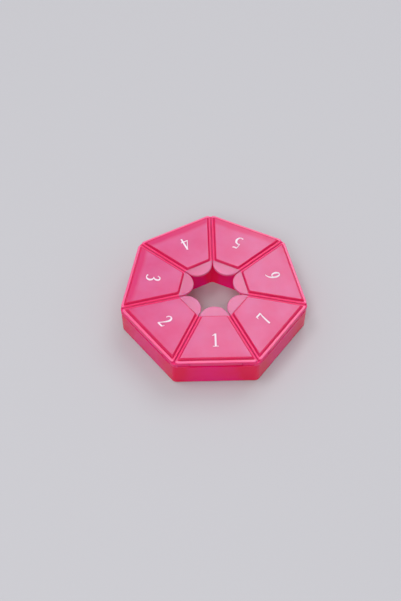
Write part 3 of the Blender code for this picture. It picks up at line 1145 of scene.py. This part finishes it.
@dataclass(frozen=True)
class WearAndPaintedShade:
    """The node group of faint clouding, handling marks, waviness and painted shade.

    Its corner shade paints the colour deeper towards the corners of the ring, a
    painted shade for the dividers seen through the outer wall. Its edge shade
    paints it deeper towards the outer sides, mostly at the rear left, a painted
    shade for the shaded outer wall seen through the lids. Spans run from none to
    full. The edge's is in millimetres in from the hinges, and the rear's in
    millimetres from the middle.
    """

    ring: Ring
    cloud_detail: float = 3.0
    cloud_span: tuple[float, float] = (0.35, 0.75)
    cloud_depth: float = 0.6
    mark_scale: float = 900.0
    mark_detail: float = 6.0
    mark_grain: float = 0.7
    wave_scale: float = 240.0
    sector_start: float = 0.25
    half_sector: float = 0.5
    corner_span: tuple[float, float] = (0.15, 0.45)
    edge_span: tuple[float, float] = (6.0, 2.5)
    rear_way: tuple[float, float, float] = (-0.42, 0.91, 0.0)
    rear_span: tuple[float, float] = (-10.0, 30.0)
    front_share: float = 0.15

    def add_sockets(self, group: NodeTree) -> None:
        """Gives the group its inputs and outputs.

        Args:
            group: The node group.
        """
        takes = {"Place": "Vector", "Tint": "Color", "Deep Tint": "Color"}
        takes |= dict.fromkeys(("Cloud Scale", "Corner Shade", "Edge Shade", "Polish", "Roughness"), "Float")
        gives = {"Colour": "Color", "Roughness": "Float", "Height": "Float"}
        for way, sockets in (("INPUT", takes), ("OUTPUT", gives)):
            for name, kind in sockets.items():
                group.interface.new_socket(name, in_out=way, socket_type=f"NodeSocket{kind}")

    def add_ramp(self, group: NodeTree, value: NodeSocket, span: tuple, least: float = 0) -> NodeSocket:
        """Adds a soft rise to one.

        Args:
            group: The node group.
            value: What the rise goes by.
            span: Where it starts and ends.
            least: What it starts from.

        Returns:
            The rise, as an output.
        """
        given = {"Value": value, "From Min": span[0], "From Max": span[1], "To Min": least}
        ramp = add_node(group, "ShaderNodeMapRange", given, interpolation_type="SMOOTHSTEP")
        return ramp.outputs["Result"]

    def add_depth(self, group: NodeTree, takes: NodeOutputs) -> NodeSocket:
        """Adds how deep the colour is, from clouding and from painted shade at the ring's corners and
        outer sides.

        Args:
            group: The node group.
            takes: The values that the group is given.

        Returns:
            The depth from none to one, as an output.
        """
        place = takes["Place"]
        given = {"Vector": place, "Scale": takes["Cloud Scale"], "Detail": self.cloud_detail}
        clouds = add_node(group, "ShaderNodeTexNoise", given).outputs["Fac"]
        low, high = self.cloud_span
        given = {"Value": clouds, "From Min": low, "From Max": high, "To Max": self.cloud_depth}
        spread = add_node(group, "ShaderNodeMapRange", given).outputs["Result"]
        # Painted shade: the colour deepens towards the ring's corners, for the dividers seen through
        # the outer wall.
        given = {"Vector": place, "Location": -self.ring.centre, "Scale": (1, 1, 0)}
        middle = add_node(group, "ShaderNodeMapping", given).outputs["Vector"]
        around = add_node(group, "ShaderNodeTexGradient", {"Vector": middle}, gradient_type="RADIAL")
        sectors = add_maths(group, "MULTIPLY_ADD", around.outputs["Fac"], SIDES, self.sector_start)
        away = add_maths(group, "PINGPONG", sectors, self.half_sector)
        corner = self.add_ramp(group, away, self.corner_span)
        # Painted shade: the colour deepens towards the outer sides, mostly at the rear left, for the
        # shaded outer wall seen through the lids.
        reach = add_node(group, "ShaderNodeVectorMath", {0: middle}, operation="LENGTH")
        lean = add_maths(group, "COSINE", add_maths(group, "MULTIPLY", away, TURN))
        out = add_maths(group, "MULTIPLY", lean, reach.outputs["Value"])
        span = [(self.ring.hinge_out - inset) * MM for inset in self.edge_span]
        edge = self.add_ramp(group, out, span)
        given = {0: middle, 1: self.rear_way}
        along = add_node(group, "ShaderNodeVectorMath", given, operation="DOT_PRODUCT")
        span = [reached * MM for reached in self.rear_span]
        rear = self.add_ramp(group, along.outputs["Value"], span, self.front_share)
        strength = add_maths(group, "MULTIPLY", rear, takes["Edge Shade"])
        fringe = add_maths(group, "MULTIPLY_ADD", edge, strength, spread)
        depth = add_maths(group, "MULTIPLY_ADD", corner, takes["Corner Shade"], fringe)
        depth.node.use_clamp = True
        return depth

    def make(self) -> NodeTree:
        """Makes the node group.

        Returns:
            The group.
        """
        group = bpy.data.node_groups.new("wear_and_painted_shade", "ShaderNodeTree")
        self.add_sockets(group)
        takes = group.nodes.new("NodeGroupInput").outputs
        place = takes["Place"]
        depth = self.add_depth(group, takes)
        given = {"Factor": depth, "A": takes["Tint"], "B": takes["Deep Tint"]}
        blend = add_node(group, "ShaderNodeMix", given, data_type="RGBA")
        grain = {"Detail": self.mark_detail, "Roughness": self.mark_grain}
        given = {"Vector": place, "Scale": self.mark_scale, **grain}
        marks = add_node(group, "ShaderNodeTexNoise", given).outputs["Fac"]
        waves = add_node(group, "ShaderNodeTexNoise", {"Vector": place, "Scale": self.wave_scale})
        surface_out = add_maths(group, "MULTIPLY_ADD", marks, takes["Polish"], takes["Roughness"])
        gives = {"Colour": blend.outputs["Result"], "Roughness": surface_out, "Height": waves.outputs["Fac"]}
        add_node(group, "NodeGroupOutput", gives)
        return group


@dataclass(frozen=True)
class Softbox:
    """One soft square lamp that faces the object, sized in millimetres and watts."""

    name: str
    place: tuple[float, float, float]
    side: float
    power: float

    def hang(self) -> None:
        """Hangs the lamp in its place."""
        data = bpy.data.lights.new(self.name, "AREA")
        data.shape = "SQUARE"
        data.size = self.side * MM
        data.energy = self.power
        lamp = add_object(self.name, data)
        lamp.location = Vector(self.place) * MM
        lamp.rotation_euler = lamp.location.to_track_quat("Z", "Y").to_euler()


@dataclass
class Studio:
    """Pale floor, soft lights and the photograph's camera."""

    target: tuple[float, float, float] = (-6.8, -3.15, 10.0)
    azimuth: float = math.radians(-1.405)
    elevation: float = math.radians(55.702)
    distance: float = 609.5
    lens: float = 68.85
    sensor: float = 36.0
    nearest: float = 10.0
    sky: float = 0.61
    sky_colour: tuple[float, float, float] = (0.96, 0.97, 1.0)
    wall_shine: float = 1.83
    floor_radius: float = 1200.0
    floor_steps: int = 96
    floor_colour: tuple[float, float, float] = (0.487, 0.481, 0.504)
    floor_roughness: float = 0.7
    lamps: tuple[Softbox, ...] = (
        Softbox("softbox_behind", (560, 1020, 1500), 1100, 9.4),
        Softbox("softbox_above", (-450, 75, 1500), 525, 5.5),
        Softbox("softbox_front", (-260, -950, 1330), 750, 8.2),
    )

    def make_camera(self) -> None:
        """Makes the camera at the photograph's viewing angle."""
        data = bpy.data.cameras.new("camera")
        data.lens = self.lens
        data.sensor_width = self.sensor
        data.clip_start = self.nearest * MM
        camera = add_object("camera", data)
        flat = math.cos(self.elevation)
        across = math.sin(self.azimuth) * flat
        back = Vector((across, -math.cos(self.azimuth) * flat, math.sin(self.elevation)))
        camera.location = (Vector(self.target) + back * self.distance) * MM
        camera.rotation_euler = back.to_track_quat("Z", "Y").to_euler()
        bpy.context.scene.camera = camera

    def make_floor(self) -> None:
        """Makes the pale floor, a disc much wider than the view."""
        bm = bmesh.new()
        bmesh.ops.create_circle(
            bm, cap_ends=True, segments=self.floor_steps, radius=self.floor_radius * MM
        )
        floor = to_object(bm, "floor")
        material = bpy.data.materials.new("pale_floor")
        material.use_nodes = True
        tree = material.node_tree
        given = {"Base Color": (*self.floor_colour, 1), "Roughness": self.floor_roughness}
        fill_inputs(tree, tree.nodes["Principled BSDF"], given)
        floor.data.materials.append(material)

    def make_world(self) -> None:
        """Makes the even light from all round, seen as a plain pale wall."""
        world = bpy.data.worlds.new("studio")
        world.use_nodes = True
        tree = world.node_tree
        light = tree.nodes["Background"]
        fill_inputs(tree, light, {"Color": (*self.sky_colour, 1), "Strength": self.sky})
        given = {"Color": (*self.floor_colour, 1), "Strength": self.sky * self.wall_shine}
        wall = add_node(tree, "ShaderNodeBackground", given)
        rays = tree.nodes.new("ShaderNodeLightPath").outputs
        bent = add_maths(tree, "MAXIMUM", rays["Is Glossy Ray"], rays["Is Transmission Ray"])
        seen = add_maths(tree, "MAXIMUM", bent, rays["Is Camera Ray"])
        given = {"Fac": seen, 1: light.outputs["Background"], 2: wall.outputs["Background"]}
        swap = add_node(tree, "ShaderNodeMixShader", given)
        fill_inputs(tree, tree.nodes["World Output"], {"Surface": swap.outputs["Shader"]})
        bpy.context.scene.world = world

    def set_up(self) -> None:
        """Makes everything that isn't the object."""
        self.make_camera()
        self.make_floor()
        self.make_world()
        for lamp in self.lamps:
            lamp.hang()
        bpy.context.scene.view_settings.view_transform = "Standard"


def finish_pins(finish: Material) -> None:
    """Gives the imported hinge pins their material.

    Args:
        finish: The material.
    """
    for index in range(SIDES):
        shaft = frame["nodes"][f"hinge_pin_{index + 1}"]
        shaft.data.materials.clear()
        shaft.data.materials.append(finish)
        LOG.info("finished %s", shaft.name)


def main() -> None:
    """Builds the studio and dresses the pill box."""
    logging.basicConfig(level=logging.INFO, format="%(message)s")
    Studio().set_up()
    sizes = Sizes(Ring.from_frame())
    wear_and_shade = WearAndPaintedShade(sizes.ring).make()
    Tray(sizes).dress([TRAY_PAINTED_LIGHT_FINISHES[zone].make(wear_and_shade) for zone in TrayZone])
    lid_painted_light_finishes = [LID_PAINTED_LIGHT_FINISHES[zone].make(wear_and_shade) for zone in LidZone]
    Lid(sizes).dress(lid_painted_light_finishes, INK_FINISH.make(wear_and_shade))
    finish_pins(PIN_FINISH.make(wear_and_shade))


if __name__ == "__main__":
    main()
